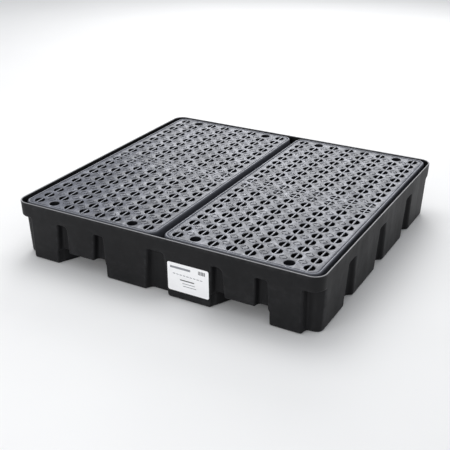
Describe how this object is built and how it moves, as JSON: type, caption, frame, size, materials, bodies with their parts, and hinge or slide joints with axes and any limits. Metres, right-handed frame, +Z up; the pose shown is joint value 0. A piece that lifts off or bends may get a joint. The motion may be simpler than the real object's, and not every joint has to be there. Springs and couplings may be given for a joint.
{
  "type": "spill containment pallet",
  "caption": "Low, nearly square moulded plastic sump pallet on three skids with fork tunnels and lift-out perforated deck grates, for standing drums over a leak-catching tray.",
  "frame": {"origin": "on the floor under the middle of the pallet", "axes": "+X to the right along the labelled front side, +Y from front to back, +Z up"},
  "size_m": [1.35, 1.243, 0.2425],
  "materials": {
    "tray_plastic": "matt black moulded polyethylene with a fine grain",
    "grate_plastic": "dark grey polyethylene with a satin, scuffed tread surface",
    "post_plastic": "black extruded polyethylene tube",
    "label_face": "white printed self-adhesive label"
  },
  "bodies": {
    "tray": {"sump_tray": "tray_plastic", "product_label": "label_face"},
    "grate_left": {"grate_left": "grate_plastic", "post_left_front_outer": "post_plastic", "post_left_front_inner": "post_plastic", "post_left_back_outer": "post_plastic", "post_left_back_inner": "post_plastic"},
    "grate_right": {"grate_right": "grate_plastic", "post_right_front_outer": "post_plastic", "post_right_front_inner": "post_plastic", "post_right_back_outer": "post_plastic", "post_right_back_inner": "post_plastic"}
  },
  "joints": [
    {"name": "grate_left_lift", "type": "slide", "parent": "tray", "child": "grate_left", "axis": [0, 0, 1], "range_m": [0, 0.32]},
    {"name": "grate_right_lift", "type": "slide", "parent": "tray", "child": "grate_right", "axis": [0, 0, 1], "range_m": [0, 0.32]}
  ]
}
